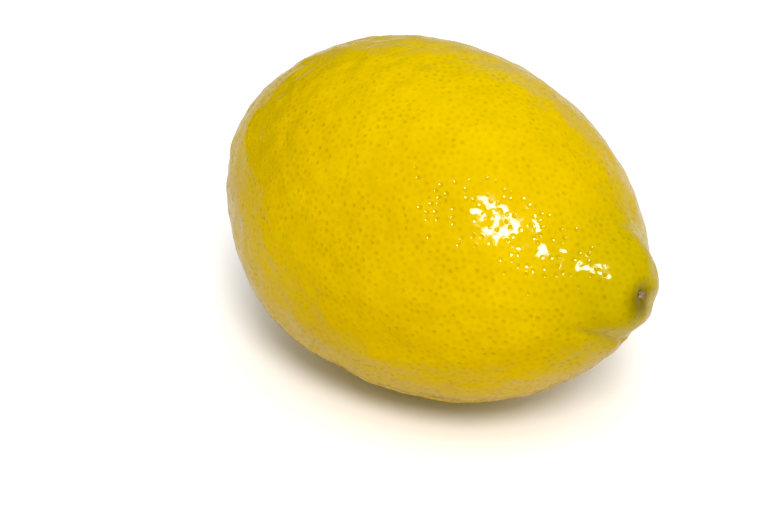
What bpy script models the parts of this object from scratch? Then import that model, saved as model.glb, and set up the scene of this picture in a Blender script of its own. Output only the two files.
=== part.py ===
"""A whole lemon, lying on its side on a small flat resting spot.

The fruit is one closed solid: a turned egg-shaped body along X, with the blunt nipple of the
blossom end towards +X and a shallow hollow at the stem end towards -X. In the hollow sits the
calyx button, the dry five-lobed remains of the flower's sepals round the cut stem.
Units are metres, +Z is up, and the origin is under the middle of the object, on the resting spot.
"""

import math

import bmesh
import bpy
from mathutils import Matrix, Vector

# Body: an egg-shaped outline round the X axis, measured from its widest section.
GIRTH_RADIUS = 0.0300
STEM_REACH = 0.0385
BLOSSOM_REACH = 0.0417
BLOSSOM_TAPER = 1.98  # outline exponent; 2 is a plain ellipse and less is more pointed

# Uneven growth: waves round the girth, then single bulges (+) and flats (-) on the near side.
SWELLS = (  # (waves round the girth, share of the radius, turn in degrees)
    (2, 0.0053, 34.0),
    (3, 0.0040, 95.0),
    (5, 0.0015, 70.0),
)
BULGES = (  # (direction from the body's centre, height, spread in degrees)
    ((-0.81, -0.46, 0.36), 0.00035, 14.0),
    ((-0.73, -0.68, 0.00), -0.00060, 15.0),
    ((-0.40, -0.77, -0.49), 0.00055, 18.0),
    ((0.01, -0.63, -0.78), -0.00035, 15.0),
    ((0.98, 0.01, -0.16), 0.00070, 6.0),
)

# Nipple: the blossom end flares out into a blunt dome. Both point a little upwards.
FLARE_AIM = Vector((1.0, -0.074, 0.081)).normalized()
FLARE_HEIGHT = 0.0031
FLARE_SPREAD = math.radians(15.7)
DOME_AIM = Vector((1.0, -0.004, 0.121)).normalized()
DOME_HEIGHT = 0.0034
DOME_SPREAD = math.radians(10.6)
DOME_BLUNTNESS = 4  # 2 is a soft bell; more makes the top flatter and the sides steeper

# Furrow: a groove along the foot of the dome, on the near side below it.
FURROW_RADIUS = 0.0093
FURROW_WIDTH = 0.0014
FURROW_DEPTH = 0.0010
FURROW_TURN = math.radians(-130.0)  # where it is deepest, from +Y towards +Z
FURROW_CLOSENESS = 6  # more makes it fade sooner to both sides

# Scar: the pit on the nipple where the flower's style dried and fell, and a cleft away from it.
SCAR_AIM = Vector((1.0, -0.027, 0.109)).normalized()
SCAR_RADIUS = 0.0017
SCAR_DEPTH = 0.0008
CLEFT_LENGTH = 0.0072
CLEFT_WIDTH = 0.0015
CLEFT_DEPTH = 0.0007
CLEFT_TURN = math.radians(-38.0)

# Stem end: a hollow with faint puckers that run out over the shoulder.
HOLLOW_DEPTH = 0.0027
HOLLOW_RADIUS = 0.0048
PUCKERS = 8
PUCKER_DEPTH = 0.00022
PUCKER_RADIUS = 0.0095

# Resting spot: how much the underside is flattened.
SPOT_DEPTH = 0.0004

# Calyx button.
BUTTON_RADIUS = 0.0036
BUTTON_THICKNESS = 0.0011
BUTTON_GAP = 0.0003
SEPALS = 5
SEPAL_SHARE = 0.20  # how far the lobes reach beyond the mean radius, as a share of it
STEM_RADIUS = 0.0015
STEM_LENGTH = 0.0016

# Mesh fineness.
FRUIT_SIDES = 64
FRUIT_RINGS = 50
END_CROWDING = 0.60  # 0 spaces the rings evenly; towards 1 they gather at both ends
BUTTON_SIDES = 40
BUTTON_RINGS = 12


def smooth_step(value):
    """0 below 0, 1 above 1, and an S-shaped rise between."""
    held = min(max(value, 0.0), 1.0)
    return held * held * (3.0 - 2.0 * held)


def bell(distance, width):
    """1 at no distance, fading smoothly to nothing over about two widths."""
    return math.exp(-((distance / width) ** 2))


def off_axis(place, aim):
    """How far a place lies from the line through the body's centre along the aim, and its turn."""
    outward = place - aim * place.dot(aim)
    return outward.length, math.atan2(outward.z, outward.y)


def body_reach(way):
    """How far the egg-shaped body reaches from its centre along a unit vector."""
    across, turn = off_axis(way, Vector((1.0, 0.0, 0.0)))
    half_length = STEM_REACH if way.x < 0 else BLOSSOM_REACH
    power = 2.0 + (BLOSSOM_TAPER - 2.0) * smooth_step(way.x / 0.3)
    total = abs(way.x / half_length) ** power + (across / GIRTH_RADIUS) ** power
    swell = sum(
        share * math.cos(waves * turn + math.radians(degrees))
        for waves, share, degrees in SWELLS
    )
    bulge = sum(
        height * bell(way.angle(Vector(direction)), math.radians(spread))
        for direction, height, spread in BULGES
    )
    return total ** (-1.0 / power) * (1.0 + swell * across**2) + bulge


def nipple_height(way):
    """How much the flare and the dome add to the body's reach along a unit vector."""
    flare = FLARE_HEIGHT * bell(way.angle(FLARE_AIM), FLARE_SPREAD)
    dome = DOME_HEIGHT * math.exp(-((way.angle(DOME_AIM) / DOME_SPREAD) ** DOME_BLUNTNESS))
    return flare + dome


def blossom_dents(place):
    """Depth of the furrow and of the scar at a place on the blossom end."""
    if place.x < 0.5 * BLOSSOM_REACH:
        return 0.0
    out, turn = off_axis(place, DOME_AIM)
    facing = 0.5 + 0.5 * math.cos(turn - FURROW_TURN)
    groove = FURROW_DEPTH * facing**FURROW_CLOSENESS * bell(out - FURROW_RADIUS, FURROW_WIDTH)
    out, turn = off_axis(place, SCAR_AIM)
    along = out * math.cos(turn - CLEFT_TURN)
    aside = out * math.sin(turn - CLEFT_TURN)
    fade = smooth_step(along / CLEFT_WIDTH) * smooth_step((CLEFT_LENGTH - along) / CLEFT_WIDTH)
    cleft = CLEFT_DEPTH * fade * bell(aside, CLEFT_WIDTH)
    return groove + max(SCAR_DEPTH * bell(out, SCAR_RADIUS), cleft)


def stem_dents(place):
    """Depth of the hollow and of the puckers at a place on the stem end."""
    if place.x > -0.5 * STEM_REACH:
        return 0.0
    out, turn = off_axis(place, Vector((-1.0, 0.0, 0.0)))
    wave = 0.5 + 0.5 * math.cos(PUCKERS * turn + math.cos(3.0 * turn))
    band = bell(out - PUCKER_RADIUS, 0.5 * PUCKER_RADIUS)
    return HOLLOW_DEPTH * bell(out, HOLLOW_RADIUS) + PUCKER_DEPTH * wave * band


def fruit_place(way):
    """The point of the fruit's skin along a unit vector from the body's centre."""
    reach = body_reach(way) + nipple_height(way)
    place = way * reach
    return way * (reach - blossom_dents(place) - stem_dents(place))


def crowded_way(corner):
    """A unit sphere's vertex, moved so that rings gather at both ends and aim at the scar."""
    turn = math.atan2(corner.z, corner.y)
    bend = math.acos(min(max(corner.x, -1.0), 1.0))
    bend -= 0.5 * END_CROWDING * math.sin(2.0 * bend)
    way = Vector(
        (
            math.cos(bend),
            math.sin(bend) * math.cos(turn),
            math.sin(bend) * math.sin(turn),
        )
    )
    lean = SCAR_AIM / SCAR_AIM.x - Vector((1.0, 0.0, 0.0))
    return (way + lean * smooth_step(way.x)).normalized()


def new_collection(name):
    collection = bpy.data.collections.new(name)
    bpy.context.scene.collection.children.link(collection)
    return collection


def finished(name, bm, material, parent, collection):
    """A smooth-shaded object made from a bmesh, with its material, under the parent."""
    mesh = bpy.data.meshes.new(name)
    bmesh.ops.recalc_face_normals(bm, faces=bm.faces)
    bm.to_mesh(mesh)
    bm.free()
    mesh.materials.append(material)
    mesh.shade_smooth()
    mesh.set_sharp_from_angle(angle=math.radians(40.0))
    thing = bpy.data.objects.new(name, mesh)
    thing.parent = parent
    collection.objects.link(thing)
    return thing


def plain_material(name, colour, roughness):
    material = bpy.data.materials.new(name)
    material.use_nodes = True
    shader = material.node_tree.nodes["Principled BSDF"]
    shader.inputs["Base Color"].default_value = (*colour, 1.0)
    shader.inputs["Roughness"].default_value = roughness
    shader.inputs["Metallic"].default_value = 0.0
    return material


def unit_ball(sides, rings):
    """A bmesh ball of radius 1 whose poles lie on the X axis."""
    bm = bmesh.new()
    bmesh.ops.create_uvsphere(
        bm,
        u_segments=sides,
        v_segments=rings,
        radius=1.0,
        matrix=Matrix.Rotation(math.radians(90.0), 4, "Y"),
    )
    return bm


def make_fruit(parent, collection):
    """The whole fruit in one piece, with its underside cut flat at the resting spot."""
    bm = unit_ball(FRUIT_SIDES, FRUIT_RINGS)
    for corner in bm.verts:
        corner.co = fruit_place(crowded_way(corner.co))
    lowest = min(corner.co.z for corner in bm.verts)
    everything = bm.verts[:] + bm.edges[:] + bm.faces[:]
    cut = bmesh.ops.bisect_plane(
        bm,
        geom=everything,
        plane_co=(0.0, 0.0, lowest + SPOT_DEPTH),
        plane_no=(0.0, 0.0, -1.0),
        clear_outer=True,
    )
    rim = [part for part in cut["geom_cut"] if isinstance(part, bmesh.types.BMEdge)]
    bmesh.ops.contextual_create(bm, geom=rim)
    peel = plain_material("lemon_peel", (0.83, 0.60, 0.01), 0.28)
    return finished("fruit", bm, peel, parent, collection)


def button_outline(turn):
    """The calyx button's radius at a turn round the stem, with a lobe for each sepal."""
    return BUTTON_RADIUS * (1.0 + SEPAL_SHARE * math.cos(SEPALS * turn))


def make_stem_stub(material, parent, collection):
    """The cut end of the stem, which stands on the hollow's floor and is joined to the button."""
    bm = bmesh.new()
    bmesh.ops.create_cone(
        bm,
        cap_ends=True,
        segments=20,
        radius1=STEM_RADIUS,
        radius2=0.85 * STEM_RADIUS,
        depth=STEM_LENGTH,
        matrix=Matrix.Rotation(math.radians(-90.0), 4, "Y"),
    )
    stub = finished("stem_stub", bm, material, parent, collection)
    floor = fruit_place(Vector((-1.0, 0.0, 0.0))).x - BUTTON_GAP
    stub.location.x = floor - 0.25 * BUTTON_THICKNESS - 0.5 * STEM_LENGTH
    stub.hide_render = True
    stub.display_type = "WIRE"
    return stub


def make_button(parent, collection, tools):
    """The calyx: a thin lobed cap that follows the hollow's floor, joined to the stem's stub."""
    bm = unit_ball(BUTTON_SIDES, BUTTON_RINGS)
    for corner in bm.verts:
        turn = math.atan2(corner.co.z, corner.co.y)
        out = math.hypot(corner.co.y, corner.co.z) * button_outline(turn)
        corner.co.y = out * math.cos(turn)
        corner.co.z = out * math.sin(turn)
        way = Vector((-STEM_REACH, corner.co.y, corner.co.z)).normalized()
        share = 0.5 - 0.5 * corner.co.x
        corner.co.x = fruit_place(way).x - BUTTON_GAP - BUTTON_THICKNESS * share
    calyx = plain_material("dry_calyx", (0.20, 0.19, 0.06), 0.75)
    button = finished("calyx_button", bm, calyx, parent, collection)
    join = button.modifiers.new("stem", "BOOLEAN")
    join.operation = "UNION"
    join.object = make_stem_stub(calyx, parent, tools)
    return button


def seat_on_origin(parent, things):
    """Moves the parent so that the things' box stands on the origin, centred over it."""
    bpy.context.view_layer.update()
    graph = bpy.context.evaluated_depsgraph_get()
    corners = []
    for thing in things:
        shape = thing.evaluated_get(graph)
        corners += [shape.matrix_world @ vertex.co for vertex in shape.data.vertices]
    low = [min(corner[axis] for corner in corners) for axis in range(3)]
    high = [max(corner[axis] for corner in corners) for axis in range(3)]
    parent.location = (-(low[0] + high[0]) / 2, -(low[1] + high[1]) / 2, -low[2])


def main():
    for leftover in list(bpy.data.objects):
        bpy.data.objects.remove(leftover)
    collection = new_collection("lemon")
    tools = new_collection("lemon_tools")
    seat = bpy.data.objects.new("lemon_seat", None)
    collection.objects.link(seat)
    fruit = make_fruit(seat, collection)
    button = make_button(seat, collection, tools)
    seat_on_origin(seat, (fruit, button))


main()
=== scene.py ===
import bpy
import bmesh
import math
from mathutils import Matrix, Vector


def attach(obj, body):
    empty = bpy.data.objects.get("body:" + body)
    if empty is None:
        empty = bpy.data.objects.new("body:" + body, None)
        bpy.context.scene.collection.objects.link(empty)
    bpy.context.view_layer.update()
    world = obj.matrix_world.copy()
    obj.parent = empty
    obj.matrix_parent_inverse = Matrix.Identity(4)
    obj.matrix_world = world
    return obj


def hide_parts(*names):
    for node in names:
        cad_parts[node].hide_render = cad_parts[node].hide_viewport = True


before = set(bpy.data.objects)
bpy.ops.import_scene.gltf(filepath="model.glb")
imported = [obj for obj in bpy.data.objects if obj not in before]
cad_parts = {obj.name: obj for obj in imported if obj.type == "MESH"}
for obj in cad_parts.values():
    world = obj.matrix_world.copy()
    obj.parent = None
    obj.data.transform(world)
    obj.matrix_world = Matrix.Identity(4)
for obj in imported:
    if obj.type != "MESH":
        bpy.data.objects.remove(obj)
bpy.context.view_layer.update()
scene = bpy.context.scene

# The lemon lies along X: the stem end at -X, the nipple with its scar at +X, and the floor at z = 0.
lemon = {
    "middle": Vector((-0.0049, 0.0, 0.0294)),               # centre of the widest section
    "scarAim": Vector((1.0, -0.027, 0.109)).normalized(),   # from the middle towards the scar
    "scarReach": 0.0477,                                    # from the middle to the floor of the scar's pit
    "mergeGap": 0.000005,                                   # points closer than this are one
}
scarPlace = lemon["middle"] + lemon["scarAim"] * lemon["scarReach"]


def deselectAll():
    if bpy.context.mode != "OBJECT":
        bpy.ops.object.mode_set(mode="OBJECT")
    bpy.ops.object.select_all(action="DESELECT")


def makeActive(piece):
    deselectAll()
    piece.select_set(True)
    bpy.context.view_layer.objects.active = piece


def applyModifiers(piece):
    makeActive(piece)
    for modifier in list(piece.modifiers):
        bpy.ops.object.modifier_apply(modifier=modifier.name)


def applyPlace(piece):
    makeActive(piece)
    bpy.ops.object.transform_apply(location=True, rotation=True, scale=True)


def addSubdivision(piece, levels):
    soften = piece.modifiers.new("soften", "SUBSURF")
    soften.levels = levels
    soften.render_levels = levels


def smoothCopy(nodeName, copyName, levels):
    # a CAD node is loose triangles, so its copy is merged, turned into quads and subdivided
    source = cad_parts[nodeName]
    piece = source.copy()
    piece.data = source.data.copy()
    piece.parent = None
    piece.name = copyName
    scene.collection.objects.link(piece)
    makeActive(piece)
    bpy.ops.object.mode_set(mode="EDIT")
    bpy.ops.mesh.select_all(action="SELECT")
    bpy.ops.mesh.remove_doubles(threshold=lemon["mergeGap"])
    widest = math.radians(60.0)
    bpy.ops.mesh.tris_convert_to_quads(face_threshold=widest, shape_threshold=widest)
    bpy.ops.mesh.normals_make_consistent(inside=False)
    bpy.ops.object.mode_set(mode="OBJECT")
    addSubdivision(piece, levels)
    applyModifiers(piece)
    return piece


def addNode(tree, kind, **settings):
    node = tree.nodes.new(kind)
    for name, value in settings.items():
        setattr(node, name, value)
    return node


def feed(tree, socket, value):
    # a socket of another node is linked, and anything else is set as the value
    if isinstance(value, bpy.types.NodeSocket):
        tree.links.new(value, socket)
    else:
        socket.default_value = value


def calculate(tree, operation, first, second=0.0, clamp=False):
    node = addNode(tree, "ShaderNodeMath", operation=operation, use_clamp=clamp)
    feed(tree, node.inputs[0], first)
    feed(tree, node.inputs[1], second)
    return node.outputs[0]


def multiply(tree, first, second):
    return calculate(tree, "MULTIPLY", first, second)


def vectorMath(tree, operation, first, second):
    # DISTANCE or DOT_PRODUCT, which both give one number
    node = addNode(tree, "ShaderNodeVectorMath", operation=operation)
    feed(tree, node.inputs[0], first)
    feed(tree, node.inputs[1], second)
    return node.outputs["Value"]


def splitVector(tree, vector):
    node = addNode(tree, "ShaderNodeSeparateXYZ")
    feed(tree, node.inputs[0], vector)
    return node.outputs["X"], node.outputs["Y"], node.outputs["Z"]


def mapRange(tree, value, low, high, newLow, newHigh, smooth=True):
    node = addNode(tree, "ShaderNodeMapRange")
    node.interpolation_type = "SMOOTHSTEP" if smooth else "LINEAR"
    for socket, number in zip(node.inputs[:5], (value, low, high, newLow, newHigh)):
        feed(tree, socket, number)
    return node.outputs[0]


def noise(tree, place, scale, detail=2.0, variant=0.0, dimensions="4D"):
    node = addNode(tree, "ShaderNodeTexNoise", noise_dimensions=dimensions)
    feed(tree, node.inputs["Vector"], place)
    feed(tree, node.inputs["Scale"], scale)
    feed(tree, node.inputs["Detail"], detail)
    if dimensions == "4D":
        node.inputs["W"].default_value = variant
    return node.outputs[0]


def stretchNoise(tree, value, newLow, newHigh):
    # most of a noise lies between these two values
    return mapRange(tree, value, 0.35, 0.65, newLow, newHigh)


def mixColour(tree, factor, first, second, blend="MIX"):
    node = addNode(tree, "ShaderNodeMix", data_type="RGBA", blend_type=blend)
    feed(tree, node.inputs[0], factor)
    feed(tree, node.inputs[6], first)
    feed(tree, node.inputs[7], second)
    return node.outputs[2]


def newMaterial(name):
    material = bpy.data.materials.new(name)
    material.use_nodes = True
    tree = material.node_tree
    coordinates = addNode(tree, "ShaderNodeTexCoord").outputs["Object"]
    return material, tree, tree.nodes["Principled BSDF"], coordinates


def addBump(tree, shader, height, distance):
    bump = addNode(tree, "ShaderNodeBump")
    bump.inputs["Distance"].default_value = distance
    feed(tree, bump.inputs["Height"], height)
    feed(tree, shader.inputs["Normal"], bump.outputs["Normal"])


def newRelief(name):
    # a geometry node tree that moves the points of the mesh that comes in
    tree = bpy.data.node_groups.new(name, "GeometryNodeTree")
    tree.interface.new_socket("Geometry", in_out="INPUT", socket_type="NodeSocketGeometry")
    tree.interface.new_socket("Geometry", in_out="OUTPUT", socket_type="NodeSocketGeometry")
    mesh = addNode(tree, "NodeGroupInput").outputs[0]
    result = addNode(tree, "NodeGroupOutput").inputs[0]
    place = addNode(tree, "GeometryNodeInputPosition").outputs[0]
    return tree, mesh, result, place


def moveAlongNormal(tree, geometry, rise):
    offset = addNode(tree, "ShaderNodeVectorMath", operation="SCALE")
    feed(tree, offset.inputs[0], addNode(tree, "GeometryNodeInputNormal").outputs[0])
    feed(tree, offset.inputs["Scale"], rise)
    move = addNode(tree, "GeometryNodeSetPosition")
    feed(tree, move.inputs["Geometry"], geometry)
    feed(tree, move.inputs["Offset"], offset.outputs[0])
    return move.outputs[0]


camera = {
    "azimuth": 43.0,
    "elevation": 31.0,
    "distance": 0.3095,
    "lens": 85.0,
    "sensor": 36.0,
    "nearest": 0.01,
    "shiftX": -0.0531,   # the lemon stands a little right of the middle of the view
    "shiftY": -0.0536,   # and a little above it
}


def makeCamera():
    azimuth = math.radians(camera["azimuth"])
    elevation = math.radians(camera["elevation"])
    level = math.cos(elevation)
    back = Vector((math.sin(azimuth) * level, -math.cos(azimuth) * level, math.sin(elevation)))
    bpy.ops.object.camera_add(location=lemon["middle"] + back * camera["distance"])
    viewer = bpy.context.object
    viewer.name = "camera"
    viewer.rotation_euler = back.to_track_quat("Z", "Y").to_euler()
    viewer.data.lens = camera["lens"]
    viewer.data.sensor_width = camera["sensor"]
    viewer.data.shift_x = camera["shiftX"]
    viewer.data.shift_y = camera["shiftY"]
    viewer.data.clip_start = camera["nearest"]
    scene.camera = viewer


studio = {
    "keyDirection": Vector((0.520, -0.430, 0.738)),
    "keyDistance": 0.9,
    "keySize": 0.245,
    "keyPower": 5.35,
    "fillDirection": Vector((0.26, -0.36, 0.90)),   # a broad panel overhead
    "fillDistance": 1.0,
    "fillSize": 0.50,
    "fillPower": 2.9,
    "panelColour": (1.0, 0.97, 0.93),
    "skyColour": (0.94, 0.97, 1.0, 1.0),
    "skySide": 0.22,
    "skyTop": 0.95,
    "skyTopFrom": 0.8,
    "skyLean": (0.64, 0.02, 0.0),    # the sky is brighter on the nipple's side
    "glossSide": 0.50,               # what the glossy peel mirrors of the sky, low and high
    "glossTop": 0.40,
    "glossTopFrom": 0.6,
    "glossLean": (0.86, 0.40, 0.0),  # and it mirrors less on the stem's side
    "floorSize": 3.0,
    "floorRoughness": 0.7,
    "floorSeen": (0.95, 0.925, 0.895, 1.0),
    "floorThrown": (0.74, 0.66, 0.52, 1.0),   # what the floor throws back at the lemon
    "floorInGloss": (0.62, 0.56, 0.49, 1.0),
}


def makePanel(name, direction, distance, size, power):
    bpy.ops.object.light_add(type="AREA")
    panel = bpy.context.object
    panel.name = name
    direction = direction.normalized()
    panel.location = lemon["middle"] + direction * distance
    panel.rotation_euler = direction.to_track_quat("Z", "Y").to_euler()
    panel.data.shape = "DISK"
    panel.data.size = size
    panel.data.energy = power
    panel.data.color = studio["panelColour"]
    return panel


def makePanels():
    for role in ("key", "fill"):
        panel = makePanel(role + "Light", studio[role + "Direction"], studio[role + "Distance"],
                          studio[role + "Size"], studio[role + "Power"])
        panel.visible_glossy = role == "key"    # only the key light shows as a highlight


def makeSky():
    world = bpy.data.worlds.new("studio")
    scene.world = world
    world.use_nodes = True
    tree = world.node_tree
    direction = addNode(tree, "ShaderNodeTexCoord").outputs["Generated"]
    height = splitVector(tree, direction)[2]
    path = addNode(tree, "ShaderNodeLightPath")

    thrown = mapRange(tree, height, 0.0, studio["skyTopFrom"], studio["skySide"], studio["skyTop"])
    lean = vectorMath(tree, "DOT_PRODUCT", direction, studio["skyLean"])
    thrown = multiply(tree, thrown, calculate(tree, "ADD", lean, 1.0))
    mirrored = mapRange(tree, height, 0.0, studio["glossTopFrom"], studio["glossSide"], studio["glossTop"])
    glossLean = vectorMath(tree, "DOT_PRODUCT", direction, studio["glossLean"])
    mirrored = multiply(tree, mirrored, calculate(tree, "ADD", glossLean, 1.0, clamp=True))

    glow = mapRange(tree, path.outputs["Is Glossy Ray"], 0.0, 1.0, thrown, mirrored)
    strength = calculate(tree, "MAXIMUM", glow, path.outputs["Is Camera Ray"])    # seen as plain white
    background = tree.nodes["Background"]
    feed(tree, background.inputs["Strength"], strength)
    background.inputs["Color"].default_value = studio["skyColour"]


def makeFloor():
    deselectAll()
    bpy.ops.mesh.primitive_plane_add(size=studio["floorSize"], location=(0.0, 0.0, 0.0))
    floor = bpy.context.object
    floor.name = "floor"
    material, tree, shader = newMaterial("paleFloor")[:3]
    path = addNode(tree, "ShaderNodeLightPath")
    colour = mixColour(tree, path.outputs["Is Glossy Ray"], studio["floorThrown"], studio["floorInGloss"])
    colour = mixColour(tree, path.outputs["Is Camera Ray"], colour, studio["floorSeen"])
    feed(tree, shader.inputs["Base Color"], colour)
    shader.inputs["Roughness"].default_value = studio["floorRoughness"]
    floor.data.materials.append(material)


peel = {
    "startSize": (0.0905, 0.0645, 0.0625),   # box of the rounded cube that is wrapped on the fruit
    "startPlace": Vector((0.0010, 0.0, 0.0297)),
    "levels": 7,
    "guideLevels": 2,             # of the smooth copy of the fruit that it is wrapped on
    "lumpScale": 195.0,           # lumps to the metre
    "lumpHeight": 0.00092,
    "lumpSink": 0.61,             # noise at this value leaves the peel where it is
    "lumpVariant": 18.0,
    "rippleScale": 380.0,
    "rippleHeight": 0.00026,
    "rippleSink": 0.6,
    "tipRipple": 1.9,             # the ripples are higher near the scar
    "tipRippleReach": (0.006, 0.022),
    "creasePoints": ((0.0399, -0.0103, 0.0012), (0.0420, -0.0083, -0.0006), (0.0433, -0.0060, -0.0021),
                     (0.0433, -0.0026, -0.0046), (0.0428, 0.0008, -0.0064)),    # from the middle
    "creaseDepth": 0.00042,
    "creaseWidth": 0.00115,
    "glandGap": 0.00101,          # least distance between two oil glands
    "glandDensity": 5000000.0,    # high enough that the gap alone sets how many there are
    "glandSeed": 4,
    "deepShare": 1.8,             # above 1, a few pits are deep and most are shallow
    "pitRadius": 0.00042,
    "pitDepth": 0.000075,         # in the mesh
    "pitBump": 0.00007,           # added to it by the material
    "rimRadii": (0.00026, 0.00044, 0.00064),   # the raised ring round a pit: inside, crest, outside
    "rimHeight": 0.25,
    "yellows": ((0.525, 0.350, 0.0, 1.0), (0.570, 0.392, 0.0, 1.0)),
    "patchScale": 45.0,           # broad patches of the two yellows
    "mottleColour": (0.40, 0.265, 0.0, 1.0),
    "mottleScale": 620.0,
    "mottleShare": 0.16,
    "tipColour": (0.375, 0.283, 0.0, 1.0),     # the nipple is greener
    "tipReach": (0.002, 0.024),
    "tipShare": 0.95,
    "tintAndShadeColour": (0.10, 0.07, 0.004, 1.0),    # olive tint and painted shade of the hollow round the scar
    "tintAndShadeReach": (0.0006, 0.0046),
    "tintAndShadeShare": 0.90,
    "tintAndShadeOffset": Vector((-0.0003, -0.0006, -0.0005)),
    "dotShade": (0.56, 0.54, 0.5, 1.0),        # multiplies the yellow at each gland
    "dotReach": (-0.0001, 0.00068),
    "dotByGland": (0.55, 1.25),   # a shallow gland's dot and a deep one's
    "dotByPlace": (0.22, 0.46),   # how strong the dots are from patch to patch
    "dotPatchScale": 110.0,
    "wobbleScale": 1400.0,        # makes the dots uneven
    "wobble": 0.00010,
    "roughness": 0.12,
    "specular": 0.38,
    "inside": 0.12,               # share of the light that goes in and comes out again nearby
    "insideRadius": (1.0, 0.6, 0.1),
    "insideScale": 0.0015,
}


def makeCreaseLine():
    # the fold under the nipple, as a line that the relief sinks the peel along
    shape = bpy.data.meshes.new("creaseLine")
    points = [lemon["middle"] + Vector(point) for point in peel["creasePoints"]]
    shape.from_pydata(points, [(i, i + 1) for i in range(len(points) - 1)], [])
    line = bpy.data.objects.new("creaseLine", shape)
    scene.collection.objects.link(line)
    return line


def addLumps(tree, mesh, place, line):
    # low lumps, finer ripples, and the crease along the line
    lumps = noise(tree, place, peel["lumpScale"], 1.0, peel["lumpVariant"])
    lumps = calculate(tree, "SUBTRACT", lumps, peel["lumpSink"])
    ripples = noise(tree, place, peel["rippleScale"], 1.0)
    ripples = calculate(tree, "SUBTRACT", ripples, peel["rippleSink"])
    toScar = vectorMath(tree, "DISTANCE", place, scarPlace)
    higher = mapRange(tree, toScar, *peel["tipRippleReach"], peel["tipRipple"], 1.0)
    ripples = multiply(tree, multiply(tree, ripples, peel["rippleHeight"]), higher)

    fold = addNode(tree, "GeometryNodeObjectInfo")
    fold.inputs["Object"].default_value = line
    near = addNode(tree, "GeometryNodeProximity", target_element="EDGES")
    feed(tree, near.inputs[0], fold.outputs["Geometry"])
    feed(tree, near.inputs["Sample Position"], place)
    toFold = near.outputs["Distance"]
    crease = mapRange(tree, toFold, 0.0, peel["creaseWidth"], -peel["creaseDepth"], 0.0)

    rise = calculate(tree, "ADD", multiply(tree, lumps, peel["lumpHeight"]), ripples)
    return moveAlongNormal(tree, mesh, calculate(tree, "ADD", rise, crease))


def findGlands(tree, mesh, place):
    # scatters the glands, and gives the nearest gland's place and a share of the full depth
    scatter = addNode(tree, "GeometryNodeDistributePointsOnFaces", distribute_method="POISSON")
    feed(tree, scatter.inputs["Mesh"], mesh)
    scatter.inputs["Distance Min"].default_value = peel["glandGap"]
    scatter.inputs["Density Max"].default_value = peel["glandDensity"]
    scatter.inputs["Seed"].default_value = peel["glandSeed"]
    nearest = addNode(tree, "GeometryNodeSampleNearest", domain="POINT")
    feed(tree, nearest.inputs["Geometry"], scatter.outputs["Points"])
    feed(tree, nearest.inputs["Sample Position"], place)
    sample = addNode(tree, "GeometryNodeSampleIndex", data_type="FLOAT_VECTOR", domain="POINT")
    feed(tree, sample.inputs["Geometry"], scatter.outputs["Points"])
    feed(tree, sample.inputs["Value"], place)
    feed(tree, sample.inputs["Index"], nearest.outputs["Index"])
    vary = addNode(tree, "FunctionNodeRandomValue", data_type="FLOAT")
    feed(tree, vary.inputs["ID"], nearest.outputs["Index"])
    return sample.outputs[0], calculate(tree, "POWER", vary.outputs[1], peel["deepShare"])


def storeOnFaces(tree, geometry, name, kind, value):
    store = addNode(tree, "GeometryNodeStoreNamedAttribute", data_type=kind, domain="FACE")
    feed(tree, store.inputs["Geometry"], geometry)
    store.inputs["Name"].default_value = name
    feed(tree, store.inputs["Value"], value)
    return store.outputs[0]


def liftOffFloor(tree, geometry, place):
    x, y, z = splitVector(tree, place)
    lifted = addNode(tree, "ShaderNodeCombineXYZ")
    for socket, value in zip(lifted.inputs, (x, y, calculate(tree, "MAXIMUM", z, 0.0))):
        feed(tree, socket, value)
    move = addNode(tree, "GeometryNodeSetPosition")
    feed(tree, move.inputs["Geometry"], geometry)
    feed(tree, move.inputs["Position"], lifted.outputs[0])
    return move.outputs[0]


def addPeelRelief(piece, line):
    # the glands are scattered on the lumpy peel, and each has a pit that the material's dot matches
    tree, mesh, result, place = newRelief("peelRelief")
    lumpy = addLumps(tree, mesh, place, line)
    glandPlace, share = findGlands(tree, lumpy, place)
    marked = storeOnFaces(tree, lumpy, "glandPlace", "FLOAT_VECTOR", glandPlace)
    marked = storeOnFaces(tree, marked, "glandVary", "FLOAT", share)
    toGland = vectorMath(tree, "DISTANCE", place, glandPlace)
    pits = mapRange(tree, toGland, 0.0, peel["pitRadius"], 1.0, 0.0)
    pitted = moveAlongNormal(tree, marked, multiply(tree, multiply(tree, pits, share), -peel["pitDepth"]))
    feed(tree, result, liftOffFloor(tree, pitted, place))
    relief = piece.modifiers.new("relief", "NODES")
    relief.node_group = tree


def makePeel():
    deselectAll()
    bpy.ops.mesh.primitive_cube_add(size=1.0, location=peel["startPlace"], scale=peel["startSize"])
    piece = bpy.context.object
    piece.name = "peel"
    applyPlace(piece)
    guide = smoothCopy("fruit", "fruitGuide", peel["guideLevels"])
    addSubdivision(piece, peel["levels"])
    wrap = piece.modifiers.new("wrap", "SHRINKWRAP")
    wrap.wrap_method = "PROJECT"
    wrap.use_negative_direction = True
    wrap.use_positive_direction = True
    wrap.target = guide
    applyModifiers(piece)
    line = makeCreaseLine()
    addPeelRelief(piece, line)
    applyModifiers(piece)
    bpy.data.objects.remove(guide)
    bpy.data.objects.remove(line)
    makeActive(piece)
    bpy.ops.object.shade_smooth()
    piece.data.materials.append(peelMaterial())
    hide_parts("fruit")
    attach(piece, "root")
    print("peel: %d faces" % len(piece.data.polygons))
    return piece


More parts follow.
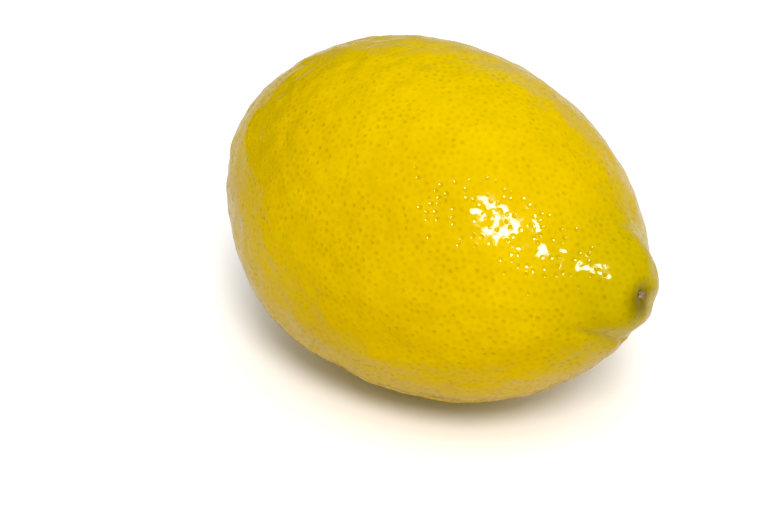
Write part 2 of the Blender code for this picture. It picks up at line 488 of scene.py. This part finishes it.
def peelMaterial():
    material, tree, shader, coordinates = newMaterial("lemonPeel")
    glandPlace = addNode(tree, "ShaderNodeAttribute", attribute_name="glandPlace").outputs["Vector"]
    share = addNode(tree, "ShaderNodeAttribute", attribute_name="glandVary").outputs["Fac"]
    toGland = vectorMath(tree, "DISTANCE", coordinates, glandPlace)
    yellow = peelYellow(tree, coordinates)
    dots = glandDots(tree, coordinates, toGland, share)
    feed(tree, shader.inputs["Base Color"], mixColour(tree, dots, yellow, peel["dotShade"], "MULTIPLY"))
    shader.inputs["Roughness"].default_value = peel["roughness"]
    shader.inputs["Specular IOR Level"].default_value = peel["specular"]
    shader.inputs["Subsurface Weight"].default_value = peel["inside"]
    shader.inputs["Subsurface Radius"].default_value = peel["insideRadius"]
    shader.inputs["Subsurface Scale"].default_value = peel["insideScale"]

    inside, crest, outside = peel["rimRadii"]
    pits = mapRange(tree, toGland, 0.0, peel["pitRadius"], 1.0, 0.0)
    rim = multiply(tree, mapRange(tree, toGland, inside, crest, 0.0, 1.0),
                   mapRange(tree, toGland, crest, outside, 1.0, 0.0))
    dish = calculate(tree, "SUBTRACT", multiply(tree, rim, peel["rimHeight"]), pits)
    addBump(tree, shader, multiply(tree, dish, share), peel["pitBump"])
    return material


def peelYellow(tree, coordinates):
    patches = stretchNoise(tree, noise(tree, coordinates, peel["patchScale"], 3.0), 0.0, 1.0)
    yellow = mixColour(tree, patches, *peel["yellows"])
    mottle = stretchNoise(tree, noise(tree, coordinates, peel["mottleScale"]), 0.0, peel["mottleShare"])
    yellow = mixColour(tree, mottle, yellow, peel["mottleColour"])
    toScar = vectorMath(tree, "DISTANCE", coordinates, scarPlace)
    tip = mapRange(tree, toScar, *peel["tipReach"], peel["tipShare"], 0.0)
    yellow = mixColour(tree, tip, yellow, peel["tipColour"])
    # painted shade of the hollow round the scar, over its real olive tint, moved off centre by the offset
    toTintAndShade = vectorMath(tree, "DISTANCE", coordinates, scarPlace + peel["tintAndShadeOffset"])
    tintAndShade = mapRange(tree, toTintAndShade, *peel["tintAndShadeReach"], peel["tintAndShadeShare"], 0.0)
    return mixColour(tree, tintAndShade, yellow, peel["tintAndShadeColour"])


def glandDots(tree, coordinates, toGland, share):
    wander = noise(tree, coordinates, peel["wobbleScale"], dimensions="3D")
    wander = mapRange(tree, wander, 0.3, 0.7, -peel["wobble"], peel["wobble"], smooth=False)
    dots = mapRange(tree, calculate(tree, "ADD", toGland, wander), *peel["dotReach"], 1.0, 0.0)
    dots = multiply(tree, dots, mapRange(tree, share, 0.0, 1.0, *peel["dotByGland"], smooth=False))
    patches = noise(tree, coordinates, peel["dotPatchScale"])
    return multiply(tree, dots, stretchNoise(tree, patches, *peel["dotByPlace"]))


def makeDryGrain():
    # fine fibres and broader patches, for the dry scar and the dry calyx
    group = bpy.data.node_groups.new("dryGrain", "ShaderNodeTree")
    group.interface.new_socket("Vector", in_out="INPUT", socket_type="NodeSocketVector")
    for name in ("Fibre Scale", "Fibre Detail", "Patch Scale", "Patch Detail"):
        group.interface.new_socket(name, in_out="INPUT", socket_type="NodeSocketFloat")
    start = addNode(group, "NodeGroupInput").outputs
    end = addNode(group, "NodeGroupOutput").inputs
    for name in ("Fibre", "Patch"):
        group.interface.new_socket(name, in_out="OUTPUT", socket_type="NodeSocketFloat")
        grain = noise(group, start["Vector"], start[name + " Scale"], start[name + " Detail"])
        feed(group, end[name], grain)
    return group


def addDryGrain(tree, coordinates, values):
    node = addNode(tree, "ShaderNodeGroup", node_tree=dryGrain)
    feed(tree, node.inputs["Vector"], coordinates)
    node.inputs["Fibre Scale"].default_value = values["fibreScale"]
    node.inputs["Fibre Detail"].default_value = values["fibreDetail"]
    node.inputs["Patch Scale"].default_value = values["patchScale"]
    node.inputs["Patch Detail"].default_value = values["patchDetail"]
    return node.outputs["Fibre"], node.outputs["Patch"]


def addRoughness(piece, scale, height):
    # uneven ups and downs in the mesh, mostly inwards, because most of the noise is under 0.65
    tree, mesh, result, place = newRelief("rough" + piece.name)
    bumps = calculate(tree, "SUBTRACT", noise(tree, place, scale, 3.0), 0.65)
    feed(tree, result, moveAlongNormal(tree, mesh, multiply(tree, bumps, height)))
    rough = piece.modifiers.new("rough", "NODES")
    rough.node_group = tree


styleScar = {
    "castFrom": 0.06,          # a point well outside the peel, from the lemon's middle
    "radius": 0.00105,
    "height": 0.00080,
    "corners": 20,
    "rimWidth": 0.00026,
    "cupDepth": 0.00028,
    "buttonRise": 0.000336,    # the small button in the middle of the cup, from the cup's floor
    "sink": 0.00035,           # how far its foot stands in the peel
    "smoothing": 3,
    "roughScale": 2400.0,
    "roughHeight": 0.00032,
    "fibreScale": 3800.0,
    "fibreDetail": 3.0,
    "patchScale": 1500.0,
    "patchDetail": 2.0,
    "browns": ((0.12, 0.075, 0.04, 1.0), (0.28, 0.205, 0.15, 1.0)),
    "spotColour": (0.05, 0.028, 0.015, 1.0),
    "spotShare": 0.8,
    "roughness": 0.6,
    "bump": 0.00008,
}


def selectFacesTowards(piece, aim):
    # in edit mode: selects the faces that look along the aim
    shape = bmesh.from_edit_mesh(piece.data)
    bpy.ops.mesh.select_all(action="DESELECT")
    for face in shape.faces:
        face.select = face.normal.dot(aim) > 0.9
    shape.select_flush_mode()
    bmesh.update_edit_mesh(piece.data)


def makeScar(wholePeel):
    # it stands where a line from outside, towards the middle, meets the peel
    aim = lemon["scarAim"]
    onPeel = wholePeel.ray_cast(lemon["middle"] + aim * styleScar["castFrom"], -aim)[1]
    foot = onPeel - aim * styleScar["sink"]
    deselectAll()
    bpy.ops.mesh.primitive_cylinder_add(vertices=styleScar["corners"], radius=styleScar["radius"],
                                        depth=styleScar["height"],
                                        location=foot + aim * styleScar["height"] * 0.5,
                                        rotation=aim.to_track_quat("Z", "Y").to_euler())
    piece = bpy.context.object
    piece.name = "styleScar"
    applyPlace(piece)
    bpy.ops.object.mode_set(mode="EDIT")
    bpy.ops.mesh.select_mode(type="FACE")
    selectFacesTowards(piece, aim)
    bpy.ops.mesh.inset(thickness=styleScar["rimWidth"])
    bpy.ops.transform.translate(value=-aim * styleScar["cupDepth"])
    bpy.ops.mesh.inset(thickness=styleScar["rimWidth"])
    bpy.ops.mesh.inset(thickness=styleScar["rimWidth"] * 0.5)
    bpy.ops.transform.translate(value=aim * styleScar["buttonRise"])
    bpy.ops.object.mode_set(mode="OBJECT")
    addSubdivision(piece, styleScar["smoothing"])
    addRoughness(piece, styleScar["roughScale"], styleScar["roughHeight"])
    applyModifiers(piece)
    bpy.ops.object.shade_smooth()
    piece.data.materials.append(scarMaterial())
    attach(piece, "root")
    print("style scar: %d faces" % len(piece.data.polygons))


def scarMaterial():
    material, tree, shader, coordinates = newMaterial("driedStyle")
    fibre, patch = addDryGrain(tree, coordinates, styleScar)
    brown = mixColour(tree, stretchNoise(tree, fibre, 0.0, 1.0), *styleScar["browns"])
    spots = mapRange(tree, patch, 0.50, 0.62, 0.0, styleScar["spotShare"])
    feed(tree, shader.inputs["Base Color"], mixColour(tree, spots, brown, styleScar["spotColour"]))
    shader.inputs["Roughness"].default_value = styleScar["roughness"]
    addBump(tree, shader, fibre, styleScar["bump"])
    return material


calyx = {
    "smoothing": 2,
    "roughScale": 900.0,
    "roughHeight": 0.00022,
    "fibreScale": 2600.0,
    "fibreDetail": 4.0,
    "patchScale": 700.0,
    "patchDetail": 3.0,
    "green": (0.13, 0.15, 0.035, 1.0),
    "brown": (0.15, 0.085, 0.035, 1.0),
    "fleck": (0.26, 0.22, 0.10, 1.0),
    "fleckShare": 0.5,
    "dryTip": (0.09, 0.055, 0.025, 1.0),   # the sepals' ends
    "dryTipReach": (0.0024, 0.0038),
    "dryTipShare": 0.7,
    "wood": (0.36, 0.26, 0.15, 1.0),       # the cut stem in the middle
    "woodReach": (0.001105, 0.001365),     # it fades out between these two radii
    "woodRing": (0.20, 0.13, 0.07, 1.0),
    "ringScale": 14000.0,
    "ringShare": 0.5,
    "roughness": (0.55, 0.8),
    "bump": 0.00010,
}


def makeCalyx():
    piece = smoothCopy("calyx_button", "calyx", calyx["smoothing"])
    addRoughness(piece, calyx["roughScale"], calyx["roughHeight"])
    applyModifiers(piece)
    bpy.ops.object.shade_smooth()
    piece.data.materials.clear()
    piece.data.materials.append(calyxMaterial())
    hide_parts("calyx_button")
    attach(piece, "root")
    print("calyx: %d faces" % len(piece.data.polygons))


def calyxMaterial():
    material, tree, shader, coordinates = newMaterial("calyxSkin")
    fibre, patch = addDryGrain(tree, coordinates, calyx)
    skin = mixColour(tree, mapRange(tree, patch, 0.40, 0.62, 0.0, 1.0), calyx["green"], calyx["brown"])
    skin = mixColour(tree, mapRange(tree, fibre, 0.35, 0.7, 0.0, calyx["fleckShare"]), skin, calyx["fleck"])

    aside, height = splitVector(tree, coordinates)[1:]
    up = calculate(tree, "SUBTRACT", height, lemon["middle"].z)
    squares = calculate(tree, "ADD", multiply(tree, up, up), multiply(tree, aside, aside))
    reach = calculate(tree, "SQRT", squares)    # from the stem's middle line
    dryTip = mapRange(tree, reach, *calyx["dryTipReach"], 0.0, calyx["dryTipShare"])
    skin = mixColour(tree, dryTip, skin, calyx["dryTip"])
    rings = calculate(tree, "SINE", multiply(tree, reach, calyx["ringScale"]))
    rings = mapRange(tree, rings, -1.0, 1.0, 0.0, calyx["ringShare"])
    wood = mixColour(tree, rings, calyx["wood"], calyx["woodRing"])
    heart = mapRange(tree, reach, *calyx["woodReach"], 1.0, 0.0)
    feed(tree, shader.inputs["Base Color"], mixColour(tree, heart, skin, wood))
    feed(tree, shader.inputs["Roughness"], mapRange(tree, patch, 0.3, 0.7, *calyx["roughness"]))
    addBump(tree, shader, fibre, calyx["bump"])
    return material


scene.view_settings.view_transform = "Standard"
scene.view_settings.use_curve_mapping = True
scene.view_settings.curve_mapping.black_level = (0.0, 0.0, 0.036)    # a clean, saturated yellow
makeCamera()
makePanels()
makeSky()
makeFloor()
print("camera, light and floor are in place")
dryGrain = makeDryGrain()
wholePeel = makePeel()
makeScar(wholePeel)
makeCalyx()
